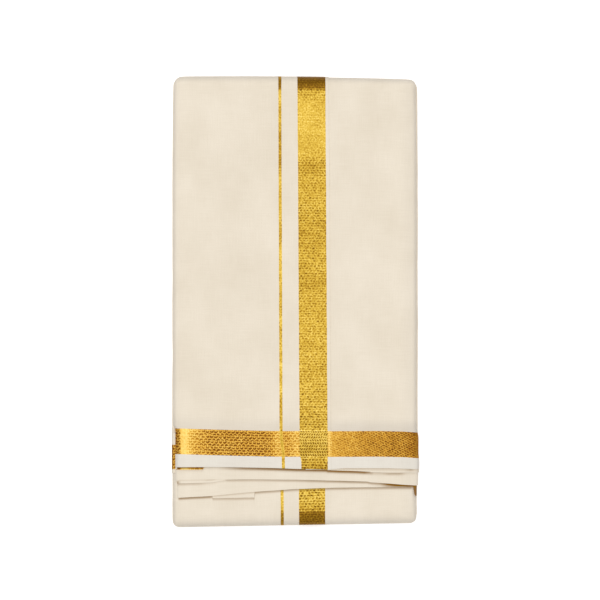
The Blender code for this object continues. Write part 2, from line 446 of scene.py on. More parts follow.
@dataclass(frozen=True)
class Weave:
    """Places of the woven stripes across the packet, in metres."""

    line_width: float = 0.0028
    border_width: float = 0.0256
    lower_border_width: float = 0.0240
    selvedge_width: float = 0.0030
    # Middles of the stripes at the top fold, the free end and the bottom fold.
    line_top: float = -0.0139
    line_free: float = -0.0126
    line_lower: float = -0.0116
    border_top: float = 0.0150
    border_free: float = 0.0172
    border_lower: float = 0.0157
    free_y: float = -0.155
    # In the stiff end, the line slips sideways and the border is drawn in at the hem.
    slip: float = 0.0020
    slip_start: float = 0.122
    slip_end: float = 0.142
    pinch: float = 0.0014
    pinch_start: float = 0.138
    pinch_end: float = 0.148
    waver: float = 0.00018
    waver_size: float = 0.018

    def drift(self, top: float, low: float, low_y: float) -> Line:
        """Middle of a stripe, going straight from the top fold to low_y."""
        top_y = FORM.length / 2
        return lambda y: low + (top - low) * (y - low_y) / (top_y - low_y)

    def wavy(self, edge: Line, offset: float, seed: float) -> Line:
        """An edge with the slight waver of a woven stripe."""
        return lambda y: edge(y) + offset + self.waver * ripple(seed, y, self.waver_size, seed)

    def edges(self, front: bool) -> dict[str, Line]:
        """Gives the edges of the zones.

        Args:
            front: Whether for the free end's stretch or for the outer turn below.

        Returns:
            A line for each named edge.
        """
        foot = self.free_y if front else -FORM.length / 2
        line = self.drift(self.line_top, self.line_free if front else self.line_lower, foot)
        border = self.drift(self.border_top, self.border_free if front else self.border_lower, foot)
        half = (self.border_width if front else self.lower_border_width) / 2
        part = 1.0 if front else 0.0

        def slipped(y: float) -> float:
            """Middle of the thin line, with its slip in the stiff end."""
            return line(y) + self.slip * part * blend(-y, self.slip_start, self.slip_end)

        def pinched(y: float) -> float:
            """Middle of the border, as its left edge follows it at the hem."""
            return border(y) + self.pinch * part * blend(-y, self.pinch_start, self.pinch_end)

        return {
            "line_left": self.wavy(slipped, -self.line_width / 2, 3.0),
            "line_right": self.wavy(slipped, self.line_width / 2, 4.0),
            "border_left": self.wavy(pinched, -half, 5.0),
            "border_right": self.wavy(border, half, 6.0),
            "selvedge": self.wavy(border, half + self.selvedge_width, 7.0),
        }


WEAVE = Weave()


@dataclass(frozen=True)
class Edge:
    """An edge across the free end of the cloth, with a slight waver of its own.

    Attributes:
        corners: The points that it goes through, across and along the packet.
        seed: Which waver.
    """

    corners: Table
    seed: float = 0.0
    waver: float = 0.00012
    waver_size: float = 0.012

    def __call__(self, x: float) -> float:
        """Its place along the packet."""
        return along(self.corners, x) + self.waver * ripple(x, self.seed, self.waver_size, self.seed)


@dataclass(frozen=True)
class FreeEnd:
    """Edges across the free end of the cloth, where its plies fan out."""

    band_height: float = 0.0235
    hidden_y: float = -0.1250
    selvedge_x: float = 0.0335
    band_top: Edge = Edge(
        ((-0.110, -0.1166), (-0.050, -0.1183), (-0.018, -0.1190), (0.033, -0.1191))
    )
    band_top_right: Edge = Edge(
        ((0.033, -0.1192), (0.078, -0.1190), (0.100, -0.1195), (0.113, -0.1205))
    )
    hem: Edge = Edge(
        ((-0.110, -0.1521), (-0.060, -0.1521), (-0.020, -0.1529), (0.000, -0.1536),
         (0.036, -0.1544)),
        1.0,
    )
    under_hem: Edge = Edge(
        ((0.030, -0.1543), (0.046, -0.1529), (0.085, -0.1530), (0.100, -0.1535),
         (0.114, -0.1540)),
        2.0,
    )
    first: Edge = Edge(
        ((-0.1100, -0.1544), (-0.0832, -0.1542), (-0.0826, -0.1495), (0.0200, -0.1500),
         (0.0300, -0.1548), (0.0460, -0.1553), (0.0684, -0.1562), (0.0692, -0.1567),
         (0.0860, -0.1572), (0.1140, -0.1571)),
        3.0,
    )
    second: Edge = Edge(
        ((-0.1090, -0.1650), (-0.1060, -0.1639), (-0.0800, -0.1636), (-0.0410, -0.1633),
         (0.0000, -0.1636), (0.0460, -0.1647), (0.0660, -0.1653), (0.0695, -0.1661),
         (0.0780, -0.1665), (0.0985, -0.1682), (0.1140, -0.1691)),
        4.0,
    )
    third: Edge = Edge(
        ((-0.1080, -0.1803), (-0.0960, -0.1796), (-0.0760, -0.1786), (-0.0740, -0.1783),
         (-0.0370, -0.1747), (0.0000, -0.1722), (0.0320, -0.1711), (0.0690, -0.1706),
         (0.1086, -0.1704), (0.1093, -0.1770), (0.1106, -0.1789), (0.1140, -0.1755)),
        5.0,
    )
    corner: Edge = Edge(((-0.0760, -0.1806), (-0.0360, -0.1800)), 6.0)
    corner_left: float = -0.0755
    corner_right: float = -0.0370
    lip: Edge = Edge(
        ((-0.1085, -0.1674), (-0.1060, -0.1671), (-0.0900, -0.1667), (-0.0760, -0.1663),
         (-0.0640, -0.1641)),
        7.0,
    )
    lip_left: float = -0.1078
    lip_right: float = -0.0640


FREE = FreeEnd()


class Tree:
    """A short way to write a material's nodes."""

    def __init__(self, name: str) -> None:
        """Starts an empty material.

        Args:
            name: Name of the material.
        """
        self.material = bpy.data.materials.new(name)
        self.material.use_nodes = True
        self.nodes = self.material.node_tree.nodes
        self.links = self.material.node_tree.links
        self.shader = self.nodes["Principled BSDF"]

    def put(self, socket: Socket, value: object) -> None:
        """Links an output to a socket, or sets it to a value."""
        if isinstance(value, Socket):
            self.links.new(value, socket)
        else:
            socket.default_value = value

    def add(self, kind: str, settings: dict, **inputs: object) -> bpy.types.Node:
        """Adds a node.

        Args:
            kind: Its type, without the leading ShaderNode.
            settings: Values of its properties.
            **inputs: Sockets by name or by in_N, each a value or an output socket.

        Returns:
            The node.
        """
        node = self.nodes.new("ShaderNode" + kind)
        for key, value in settings.items():
            setattr(node, key, value)
        for key, value in inputs.items():
            place = int(key[3:]) if key.startswith("in_") else key.replace("_", " ")
            self.put(node.inputs[place], value)
        return node

    def math(self, operation: str, *values: object) -> Socket:
        """Adds a Math node and gives its output."""
        inputs = {f"in_{i}": value for i, value in enumerate(values)}
        return self.add("Math", {"operation": operation}, **inputs).outputs[0]

    def swing(self, value: Socket, depth: float, onto: object) -> Socket:
        """Adds a 0 to 1 value to another one, as a swing about its middle."""
        return self.math("MULTIPLY_ADD", self.math("SUBTRACT", value, 0.5), depth, onto)

    def weave_uv(self, scale: tuple = (1.0, 1.0, 1.0), turn: float = 0.0) -> Socket:
        """Gives the cloth's own coordinates, scaled and turned.

        Args:
            scale: Cells per metre across, along and up.
            turn: Angle in radians.

        Returns:
            The vector.
        """
        uv = self.add("UVMap", {"uv_map": WEAVE_MAP}).outputs["UV"]
        mapping = self.add("Mapping", {}, Vector=uv, Scale=scale, Rotation=(0, 0, turn))
        return mapping.outputs["Vector"]

    def axes(self, turn: float = 0.0) -> tuple[Socket, Socket]:
        """The cloth's own two coordinates, across and along."""
        split = self.add("SeparateXYZ", {}, Vector=self.weave_uv(turn=turn))
        return split.outputs[0], split.outputs[1]

    def noise(self, across: float, along_it: float, detail: float, seed: float) -> Socket:
        """Noise on the cloth's own coordinates, from 0 to 1.

        Args:
            across: Cells per metre across the cloth.
            along_it: Cells per metre along it.
            detail: How many finer layers it has.
            seed: Which pattern.

        Returns:
            The value.
        """
        where = self.weave_uv((across, along_it, 1.0))
        settings = {"noise_dimensions": "4D"}
        node = self.add(
            "TexNoise", settings, Vector=where, W=seed, Scale=1.0, Detail=detail, Roughness=0.55
        )
        return node.outputs["Fac"]

    def attribute(self, name: str) -> Socket:
        """A value stored on the cloth."""
        return self.add("Attribute", {"attribute_name": name}).outputs["Fac"]

    def ramp(self, value: Socket, stops: tuple) -> Socket:
        """Turns a value into a colour.

        Args:
            value: The value.
            stops: Pairs of place and linear colour.

        Returns:
            The colour.
        """
        node = self.add("ValToRGB", {}, Fac=value)
        elements = node.color_ramp.elements
        while len(elements) < len(stops):
            elements.new(0.5)
        for element, (place, colour) in zip(elements, stops):
            element.position = place
            element.color = (*colour, 1.0)
        return node.outputs["Color"]

    def mix(self, amount: object, a: object, b: object) -> Socket:
        """Mixes two colours by an amount."""
        a = (*a, 1.0) if isinstance(a, tuple) else a
        b = (*b, 1.0) if isinstance(b, tuple) else b
        node = self.add("Mix", {"data_type": "RGBA"}, in_0=amount, in_6=a, in_7=b)
        return node.outputs[2]

    def set(self, **values: object) -> None:
        """Sets sockets of the shader, or links them."""
        for key, value in values.items():
            self.put(self.shader.inputs[key.replace("_", " ")], value)

    def bump(self, height: Socket, distance: float) -> None:
        """Gives the shader its relief from a height."""
        node = self.add("Bump", {}, Height=height, Distance=distance, Strength=0.5)
        self.links.new(node.outputs["Normal"], self.shader.inputs["Normal"])


@dataclass(frozen=True)
class CottonFinish:
    """Plain-woven unbleached cotton."""

    name: str
    colour: Colour
    deep: Colour
    # Colours of painted shade: brown for the shade in creases under ply edges, grey where the cloth
    # turns away from the light.
    crease: Colour = linear(136, 94, 18)
    turned: Colour = linear(120, 118, 125)
    thread_rate: float = 4600.0
    slub_depth: float = 0.9
    fibre_depth: float = 0.5
    cloud_depth: float = 1.8
    weave_depth: float = 0.05
    relief: float = 0.00012

    def make(self) -> bpy.types.Material:
        """Makes the material.

        Returns:
            The material.
        """
        t = Tree(self.name)
        cloud = t.noise(24.0, 20.0, 3.0, 1.0)
        slubs = t.math("ADD", t.noise(55.0, 1500.0, 2.0, 2.0), t.noise(1500.0, 55.0, 2.0, 3.0))
        fibre = t.noise(900.0, 900.0, 2.0, 4.0)
        across, along_it = t.axes()
        warp = t.math("SINE", t.math("MULTIPLY", across, self.thread_rate))
        weft = t.math("SINE", t.math("MULTIPLY", along_it, self.thread_rate))
        weave = t.math("MULTIPLY", warp, weft)
        tone = t.math("MULTIPLY", t.math("SUBTRACT", slubs, 1.0), self.slub_depth)
        tone = t.swing(fibre, self.fibre_depth, tone)
        tone = t.swing(cloud, self.cloud_depth, tone)
        tone = t.math("ADD", t.math("MULTIPLY_ADD", weave, self.weave_depth, tone), 0.5)
        base = t.mix(tone, self.deep, self.colour)
        # Painted shade: grey mixed in by the stored grey shade amount, where the cloth turns away at
        # the outline, above the end band and on the flap.
        base = t.mix(t.attribute(GREY_SHADE), base, self.turned)
        height = t.math("MULTIPLY_ADD", slubs, 0.8, t.math("MULTIPLY", weave, 0.5))
        # Painted shade: the colour is mixed towards brown by the stored shade amount, in creases
        # under ply edges and between the side folds.
        t.set(
            Base_Color=t.mix(t.attribute(SHADE), base, self.crease),
            Roughness=t.math("MULTIPLY_ADD", fibre, 0.12, 0.80),
            Sheen_Weight=0.12,
            Sheen_Roughness=0.4,
            Specular_IOR_Level=0.25,
        )
        t.bump(height, self.relief)
        return t.material


@dataclass(frozen=True)
class ZariFinish:
    """Metal-wrapped yarn, whose floats catch the light between dark dashes.

    Attributes:
        name: Name of the material.
        stops: Colours of the yarn, from brown to pale gold.
        dash: Spacing of the dashes across and along, in metres.
        mortar: Share of that spacing which is left between them.
        turn: Angle of their rows, in radians.
        zigzag: How far each row leans against the next.
        chevron: How far the dashes bend upward at their ends.
        dash_depth: How dark they are.
        unevenness: How much one differs from another.
        grain: Depth of the yarn's grain.
        patches: Depth of its larger patches.
        patch_size: Patches per metre, across and along.
        grain_size: Grains per metre.
        wobble: How far the dashes stray, in metres.
        metallic: Share of metal in the shine.
        fine_grain: Depth of the finest grain.
        relief: Height of the floats, in metres.
        crease: Colour of the painted shade in creases.
    """

    name: str
    stops: tuple
    dash: tuple = (0.0031, 0.0026)
    mortar: float = 0.42
    turn: float = 0.0
    zigzag: float = 0.0
    chevron: float = 0.0
    dash_depth: float = 0.35
    unevenness: float = 2.0
    grain: float = 0.35
    patches: float = 0.3
    patch_size: tuple = (60.0, 55.0)
    grain_size: float = 620.0
    wobble: float = 0.0022
    metallic: float = 0.40
    fine_grain: float = 0.4
    relief: float = 0.00025
    crease: Colour = linear(84, 50, 14)

    def dashes(self, t: Tree) -> Socket:
        """Rows of short dark floats, staggered and a little uneven.

        Args:
            t: The material.

        Returns:
            A height from 0 in the gaps to 1 in a dash.
        """
        wide, high = self.dash
        across, along_it = t.axes(self.turn)
        lean = t.math("PINGPONG", along_it, 2 * high)
        x = t.math("MULTIPLY_ADD", lean, self.zigzag, across)
        rise = t.math("PINGPONG", across, wide / 2)
        y = t.math("MULTIPLY_ADD", rise, self.chevron, along_it)
        place = t.add("CombineXYZ", {}, X=x, Y=y).outputs[0]
        stray = t.math("SUBTRACT", t.noise(330.0, 330.0, 2.0, 5.0), 0.5)
        shift = t.math("MULTIPLY", stray, self.wobble)
        moved = t.add("VectorMath", {"operation": "ADD"}, in_0=place, in_1=shift)
        brick = t.add(
            "TexBrick",
            {"offset": 0.5, "squash": 1.0},
            Vector=moved.outputs[0],
            Color1=(1, 1, 1, 1),
            Color2=(1, 1, 1, 1),
            Mortar=(0, 0, 0, 1),
            Scale=1.0,
            Mortar_Size=self.mortar * min(self.dash),
            Mortar_Smooth=1.0,
            Brick_Width=wide,
            Row_Height=high,
        )
        return t.add("RGBToBW", {}, Color=brick.outputs["Color"]).outputs[0]

    def make(self) -> bpy.types.Material:
        """Makes the material.

        Returns:
            The material.
        """
        t = Tree(self.name)
        uneven = t.swing(t.noise(260.0, 330.0, 1.0, 9.0), self.unevenness, 0.7)
        uneven = t.math("MINIMUM", t.math("MAXIMUM", uneven, 0.1), 1.2)
        dash = t.math("MULTIPLY", self.dashes(t), t.math("MULTIPLY", uneven, t.attribute(DASH)))
        grain = t.noise(self.grain_size, self.grain_size, 2.0, 7.0)
        # The stored glow tone carries the painted sheen and shade of the zari.
        tone = t.math("MULTIPLY_ADD", dash, -self.dash_depth, t.attribute(GLOW))
        tone = t.swing(grain, self.grain * 2, tone)
        tone = t.swing(t.noise(*self.patch_size, 2.0, 6.0), -self.patches, tone)
        tone = t.swing(t.noise(1300.0, 1900.0, 1.0, 8.0), self.fine_grain, tone)
        height = t.math("MULTIPLY_ADD", dash, -0.9, t.math("MULTIPLY", grain, 1.2))
        # Painted shade: the yarn's colour is mixed towards dark brown by the stored shade amount, in
        # creases under ply edges.
        t.set(
            Base_Color=t.mix(t.attribute(SHADE), t.ramp(tone, self.stops), self.crease),
            Metallic=self.metallic,
            Roughness=t.math("MULTIPLY_ADD", grain, 0.2, 0.38),
            Specular_IOR_Level=0.08,
        )
        t.bump(height, self.relief)
        return t.material


GOLD_STOPS = (
    (0.0, linear(112, 76, 8)),
    (0.3, linear(162, 120, 26)),
    (0.55, linear(211, 175, 66)),
    (0.75, linear(238, 208, 110)),
    (1.0, linear(252, 234, 166)),
)
BROWN_GOLD_STOPS = (
    (0.0, linear(112, 64, 8)),
    (0.3, linear(166, 112, 28)),
    (0.55, linear(214, 164, 62)),
    (0.78, linear(240, 211, 122)),
    (1.0, linear(252, 234, 168)),
)
FINISH_OF = {
    Zone.COTTON: CottonFinish("cream_cotton", linear(238, 227, 209), linear(226, 214, 194)),
    Zone.HEM: CottonFinish("hem_cotton", linear(234, 228, 216), linear(222, 214, 202)),
    Zone.BORDER: ZariFinish(
        "border_zari", GOLD_STOPS, (0.0031, 0.0023), zigzag=0.25, dash_depth=0.44,
        unevenness=2.8, grain=0.50, patch_size=(38.0, 80.0),
    ),
    Zone.LINE: ZariFinish(
        "line_zari", GOLD_STOPS, (0.0030, 0.0024), dash_depth=0.16, grain=0.46,
        patches=0.6, patch_size=(60.0, 90.0),
    ),
    Zone.END_BAND: ZariFinish(
        "end_band_zari", BROWN_GOLD_STOPS, (0.0039, 0.0024), 0.38, chevron=0.42,
        dash_depth=0.84, unevenness=0.9, grain=0.20, patches=0.2, patch_size=(70.0, 70.0),
        grain_size=480.0, wobble=0.0036,
    ),
    Zone.CROSSING: ZariFinish(
        "crossing_zari", GOLD_STOPS, (0.0022, 0.0027), 0.34, zigzag=0.55,
        dash_depth=0.80, unevenness=1.0, grain=0.24, patch_size=(50.0, 120.0),
    ),
    Zone.END_BAND_RIGHT: ZariFinish(
        "right_end_band_zari", BROWN_GOLD_STOPS, (0.0028, 0.0019), 0.36, 0.42,
        dash_depth=0.50, unevenness=1.6, grain=0.30, patch_size=(70.0, 70.0), wobble=0.0026,
    ),
}


class Finishes:
    """All materials of the cloth, made once."""

    def __init__(self) -> None:
        """Makes every material."""
        self.by_zone = {zone: finish.make() for zone, finish in FINISH_OF.items()}


@dataclass(frozen=True)
class DullSpot:
    """A stretch where a stripe's painted sheen is weaker.

    Attributes:
        middle: Its place along the packet.
        depth: How much the tone drops.
        edge: Distance from the middle where it starts.
        core: Distance from the middle where it is full.
    """

    middle: float
    depth: float
    edge: float
    core: float

    def at(self, y: float) -> float:
        """How much the tone drops at y."""
        return self.depth * blend(abs(y - self.middle), self.edge, self.core)


@dataclass(frozen=True)
class Lustre:
    """How brightly the zari zones are painted as catching the light, as painted sheen and shade, and
    how strong their dashes are.

    The border's tables are read along the packet and the end band's across it.
    """

    border_glow: Table = (
        (-0.206, 0.46), (-0.193, 0.46), (-0.191, 0.52), (-0.183, 0.65), (-0.165, 0.62),
        (-0.153, 0.48), (-0.146, 0.60), (-0.135, 0.58), (-0.110, 0.59), (-0.070, 0.57),
        (-0.045, 0.57), (0.010, 0.56), (0.022, 0.52), (0.042, 0.60), (0.056, 0.50),
        (0.072, 0.51), (0.087, 0.59), (0.102, 0.56), (0.109, 0.53), (0.124, 0.53),
        (0.136, 0.57), (0.160, 0.58), (0.180, 0.55), (0.190, 0.54), (0.195, 0.50),
        (0.206, 0.42),
    )
    border_dash: Table = (
        (-0.206, 0.9), (-0.165, 1.5), (-0.150, 1.4), (-0.100, 1.1), (-0.070, 0.8),
        (0.020, 0.8), (0.035, 0.9), (0.060, 0.8), (0.083, 1.0), (0.100, 0.6), (0.112, 0.7),
        (0.124, 1.0), (0.136, 0.3), (0.180, 0.25), (0.192, 0.9), (0.206, 1.1),
    )
    end_band_glow: Table = (
        (-0.1095, 0.60), (-0.1054, 0.63), (-0.1044, 0.67), (-0.1010, 0.73), (-0.0985, 0.73),
        (-0.0950, 0.69), (-0.0880, 0.64), (-0.0760, 0.61), (-0.0300, 0.585), (-0.0265, 0.61),
        (-0.0225, 0.61), (-0.0192, 0.65), (-0.0160, 0.71), (-0.0148, 0.71), (-0.0119, 0.64),
        (-0.0084, 0.58), (-0.0046, 0.63), (0.0028, 0.73), (0.0290, 0.70), (0.0302, 0.72),
        (0.0325, 0.70), (0.0345, 0.57), (0.0500, 0.56), (0.0680, 0.54), (0.0790, 0.52),
        (0.0860, 0.51), (0.1010, 0.52), (0.1060, 0.46), (0.1110, 0.39), (0.1140, 0.42),
    )
    end_band_dash: Table = (
        (-0.1095, 1.0), (-0.1052, 0.9), (-0.1044, 0.0), (-0.0990, 0.1), (-0.0960, 0.5),
        (-0.0860, 0.7), (-0.0740, 1.0), (-0.0300, 1.0), (-0.0220, 0.8), (-0.0185, 0.6),
        (-0.0100, 0.6), (0.0000, 0.6), (0.0040, 0.4), (0.0300, 0.0), (0.0340, 0.6),
        (0.0600, 0.9), (0.0860, 1.2), (0.1020, 1.4), (0.1090, 1.3), (0.1110, 0.2),
        (0.1140, 0.0),
    )
    crossing_tone: float = 0.72
    crossing_dull: DullSpot = DullSpot(-0.136, 0.09, 0.010, 0.002)
    line_tone: float = 0.54
    line_drop: float = 0.06
    line_dulls: tuple = (DullSpot(0.138, 0.12, 0.026, 0.012), DullSpot(-0.101, 0.10, 0.014, 0.006))
    # Painted shade: how far the zari's tone is lowered where the cloth turns away over the folds and
    # sides.
    band_turned: float = 0.15
    top_turned: float = 0.31
    lower_turned: float = 0.22
    turned_tilt: float = 0.008

    def line_glow(self, y: float) -> float:
        """Tone of the thin line, a little lower where it crosses the end band."""
        tone = self.line_tone - self.line_drop * blend(-y, 0.117, 0.124)
        tone += self.line_drop * blend(-y, 0.150, 0.160)
        for spot in self.line_dulls:
            tone -= spot.at(y)
        return tone

    def glow(self, zone: Zone, x: float, y: float, steep: float) -> float:
        """How brightly a zari zone is painted, with painted sheen and painted shade.

        Args:
            zone: The woven zone.
            x: Place across the packet.
            y: Place along it.
            steep: 0 where the cloth is level, 1 where it is upright.

        Returns:
            A tone from 0, brown, to 1, pale gold.
        """
        if zone in (Zone.END_BAND, Zone.END_BAND_RIGHT):
            return along(self.end_band_glow, x) - self.band_turned * blend(steep, 0.05, 0.40)
        if zone is Zone.CROSSING:
            tone = self.crossing_tone - self.crossing_dull.at(y)
        else:
            tone = self.line_glow(y) if zone is Zone.LINE else along(self.border_glow, y)
        # Painted shade on the zari where it turns over the folds.
        turned = blend(steep, 0.0, self.turned_tilt)
        if y > 0:
            return tone - self.top_turned * max(turned, blend(y, 0.1936, 0.1950))
        return tone - self.lower_turned * turned

    def dash(self, zone: Zone, x: float, y: float) -> float:
        """How strongly the dark dashes of a zari zone show.

        Args:
            zone: The woven zone.
            x: Place across the packet.
            y: Place along it.

        Returns:
            A strength, about 0 to 1.
        """
        if zone in (Zone.END_BAND, Zone.END_BAND_RIGHT):
            return along(self.end_band_dash, x)
        return along(self.border_dash, y) if zone is Zone.BORDER else 1.0


@dataclass(frozen=True)
class OutlineShade:
    """Painted shade: how much grey is painted on the cloth where it turns away at the packet's
    outline, and near its long sides.
    """

    left: float = 0.22
    right: float = 0.19
    left_verge: float = 0.02
    right_verge: float = 0.05
    lower_end: float = 0.20
    top_end: float = 0.25
    side_tilt: float = 0.35
    end_tilt: float = 0.5

    def at(self, row: Row, column: Column, x: float) -> float:
        """Gives the depth of painted grey shade at a point.

        Args:
            row: The line across.
            column: The line along.
            x: Place across the packet.

        Returns:
            An amount from 0 to about 0.4.
        """
        tilt = blend(1 - math.cos(column.angle), 0.0, self.side_tilt)
        side = (self.left if column.side < 0 else self.right) * tilt
        side += self.left_verge * blend(-x, 0.100, 0.108)
        side += self.right_verge * blend(x, 0.094, 0.106)
        end = self.lower_end if row.reach < 0 else self.top_end
        return max(side, end * blend(1 - abs(row.cosine), 0.0, self.end_tilt))


LUSTRE = Lustre()
OUTLINE_SHADE = OutlineShade()


def finished_piece(name: str, mesh: bmesh.types.BMesh, materials: list, sharp: float) -> Piece:
    """Turns a mesh into a piece of the cloth.

    Args:
        name: Name of the piece.
        mesh: Its mesh, which is used up.
        materials: Its materials.
        sharp: Angle in radians past which an edge is sharp.

    Returns:
        The piece.
    """
    bmesh.ops.recalc_face_normals(mesh, faces=mesh.faces)
    for edge in mesh.edges:
        edge.smooth = edge.calc_face_angle(0.0) <= sharp
    data = bpy.data.meshes.new(name)
    mesh.to_mesh(data)
    mesh.free()
    for material in materials:
        data.materials.append(material)
    piece = bpy.data.objects.new(name, data)
    bpy.context.scene.collection.objects.link(piece)
    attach(piece, "root")
    log.info("%s: %d faces", name, len(data.polygons))
    return piece


@dataclass
class ClothSheet:
    """One stretch of cloth, as a thin closed sheet laid on the packet's form.

    Attributes:
        name: Name of the piece.
        rows: Lines across the packet, with the zone after each.
        columns: Lines along it, with the zone after each.
        zone_of: Gives the woven zone for a column zone and a row zone.
        finishes: The materials.
        depth: Depth of its outer face under the packet's face.
        wall: Thickness of the cloth.
        swell: Height of its soft unevenness.
        seed: Which pattern of unevenness.
        sharp: Angle in radians past which an edge is sharp.
    """

    name: str
    rows: Strip
    columns: Strip
    zone_of: Callable[[str, str], Zone]
    finishes: Finishes
    depth: float = 0.0
    wall: float = 0.0004
    swell: float = 0.0002
    seed: float = 11.0
    sharp: float = 0.9

    def lift(self, x: float, y: float) -> float:
        """Soft unevenness of the cloth, in two sizes."""
        broad = ripple(x, y, 0.045, self.seed)
        return self.swell * broad + 0.4 * self.swell * ripple(x, y, 0.014, self.seed + 1)

    def points(self, depth: float) -> list[list[Vector]]:
        """Gives the points of one face.

        Args:
            depth: Depth of that face.

        Returns:
            A list of points for each row.
        """
        grid = []
        for row in self.rows.lines:
            line = []
            for column in self.columns.lines:
                x = column.at(row.y(0.0), depth)[0]
                x, under = column.at(row.y(x), depth)
                lift = max(row.cosine, 0.0) * self.lift(x, row.y(x))
                line.append(row.place(x, under - lift + 0.5 * self.swell))
            grid.append(line)
        return grid

    def cell_zone(self, i: int, j: int) -> Zone:
        """The woven zone of a cell, or of the last one past the far edges."""
        rows, columns = self.rows.zones, self.columns.zones
        return self.zone_of(columns[min(j, len(columns) - 1)], rows[min(i, len(rows) - 1)])

    def point_zone(self, i: int, j: int) -> Zone:
        """The zone that owns a point, zari first, so that its tone is kept."""
        high, wide = len(self.rows.zones), len(self.columns.zones)
        around = [(a, b) for a in (i - 1, i) for b in (j - 1, j) if 0 <= a < high and 0 <= b < wide]
        return max((self.cell_zone(a, b) for a, b in around), key=lambda zone: zone.value)

    def tones(self, i: int, j: int, point: Vector) -> dict[str, float]:
        """Gives the values that the finishes read at a point.

        Args:
            i: Its row.
            j: Its column.
            point: Its place.

        Returns:
            A value for each stored name.
        """
        row, column = self.rows.lines[i], self.columns.lines[j]
        zone = self.point_zone(i, j)
        lean = 1.0 if row.cosine < 0 else math.cos(column.angle)
        steep = 1 - abs(row.cosine) * lean
        # Glow holds the zari's painted sheen and shade; shade and grey shade are painted shade on
        # the cloth.
        return {
            GLOW: LUSTRE.glow(zone, point.x, point.y, steep),
            SHADE: row.shade(point.x),
            GREY_SHADE: row.dim(point.x) + OUTLINE_SHADE.at(row, column, point.x),
            DASH: LUSTRE.dash(zone, point.x, point.y),
        }

    def walls(self, outer: list, inner: list) -> Iterator[tuple[list, Zone]]:
        """Gives every face of the closed sheet.

        Args:
            outer: Points of the outer face, row by row.
            inner: Points of the inner face.

        Yields:
            The corners of a face, and its zone.
        """
        high, wide = len(outer) - 1, len(outer[0]) - 1
        for i in range(high):
            for j in range(wide):
                for grid, step in ((outer, 1), (inner, -1)):
                    corners = [grid[i][j], grid[i][j + 1], grid[i + 1][j + 1], grid[i + 1][j]]
                    yield corners[::step], self.cell_zone(i, j)
        for i in range(high):
            for j in (0, wide):
                corners = [outer[i][j], outer[i + 1][j], inner[i + 1][j], inner[i][j]]
                yield corners, self.cell_zone(i, j)
        for j in range(wide):
            for i in (0, high):
                corners = [outer[i][j], outer[i][j + 1], inner[i][j + 1], inner[i][j]]
                yield corners, self.cell_zone(i, j)

    def run_lengths(self, face: list) -> list[float]:
        """Length of cloth up to each row, along its middle column."""
        middle = len(face[0]) // 2
        total, runs = 0.0, [0.0]
        for a, b in zip(face, face[1:]):
            total += (b[middle] - a[middle]).length
            runs.append(total)
        return runs

    def build(self) -> Piece:
        """Builds the sheet and dresses it.

        Returns:
            The piece.
        """
        mesh = bmesh.new()
        uv = mesh.loops.layers.uv.new(WEAVE_MAP)
        stored = {name: mesh.verts.layers.float.new(name) for name in (GLOW, SHADE, GREY_SHADE, DASH)}
        faces = [self.points(self.depth), self.points(self.depth + self.wall)]
        grids = [[[mesh.verts.new(p) for p in line] for line in face] for face in faces]
        runs = self.run_lengths(faces[0])
        run_of = {}
        for grid in grids:
            for i, line in enumerate(grid):
                for j, vert in enumerate(line):
                    run_of[vert] = runs[i]
                    for name, value in self.tones(i, j, vert.co).items():
                        vert[stored[name]] = value
        pairs = {(c, r) for c in set(self.columns.zones) for r in set(self.rows.zones)}
        used = sorted({self.zone_of(c, r) for c, r in pairs}, key=lambda zone: zone.value)
        for corners, zone in self.walls(*grids):
            face = mesh.faces.new(corners)
            face.material_index = used.index(zone)
            face.smooth = True
            for loop in face.loops:
                loop[uv].uv = (loop.vert.co.x, run_of[loop.vert])
        materials = [self.finishes.by_zone[zone] for zone in used]
        return finished_piece(self.name, mesh, materials, self.sharp)


def zones_front(column: str, row: str) -> Zone:
    """Woven zones of the top ply."""
    if column == "border":
        return Zone.CROSSING if row == "end_band" else Zone.BORDER
    if column == "line":
        return Zone.LINE
    if row == "end_band":
        return Zone.END_BAND
    return Zone.HEM if row == "hem" else Zone.COTTON


def zones_under(column: str, row: str) -> Zone:
    """Woven zones of the ply right of the selvedge."""
    return {"end_band": Zone.END_BAND_RIGHT, "hem": Zone.HEM}.get(row, Zone.COTTON)


def zones_turn(column: str, row: str) -> Zone:
    """Woven zones of the outer turn, below the free end and on the back."""
    return {"border": Zone.BORDER, "line": Zone.LINE}.get(column, Zone.COTTON)


def zones_sliver(column: str, row: str) -> Zone:
    """Cotton with an end band where the column or the row has one."""
    return Zone.END_BAND if "end_band" in (column, row) else Zone.COTTON


def zones_plain(column: str, row: str) -> Zone:
    """Plain cotton all over."""
    return Zone.COTTON


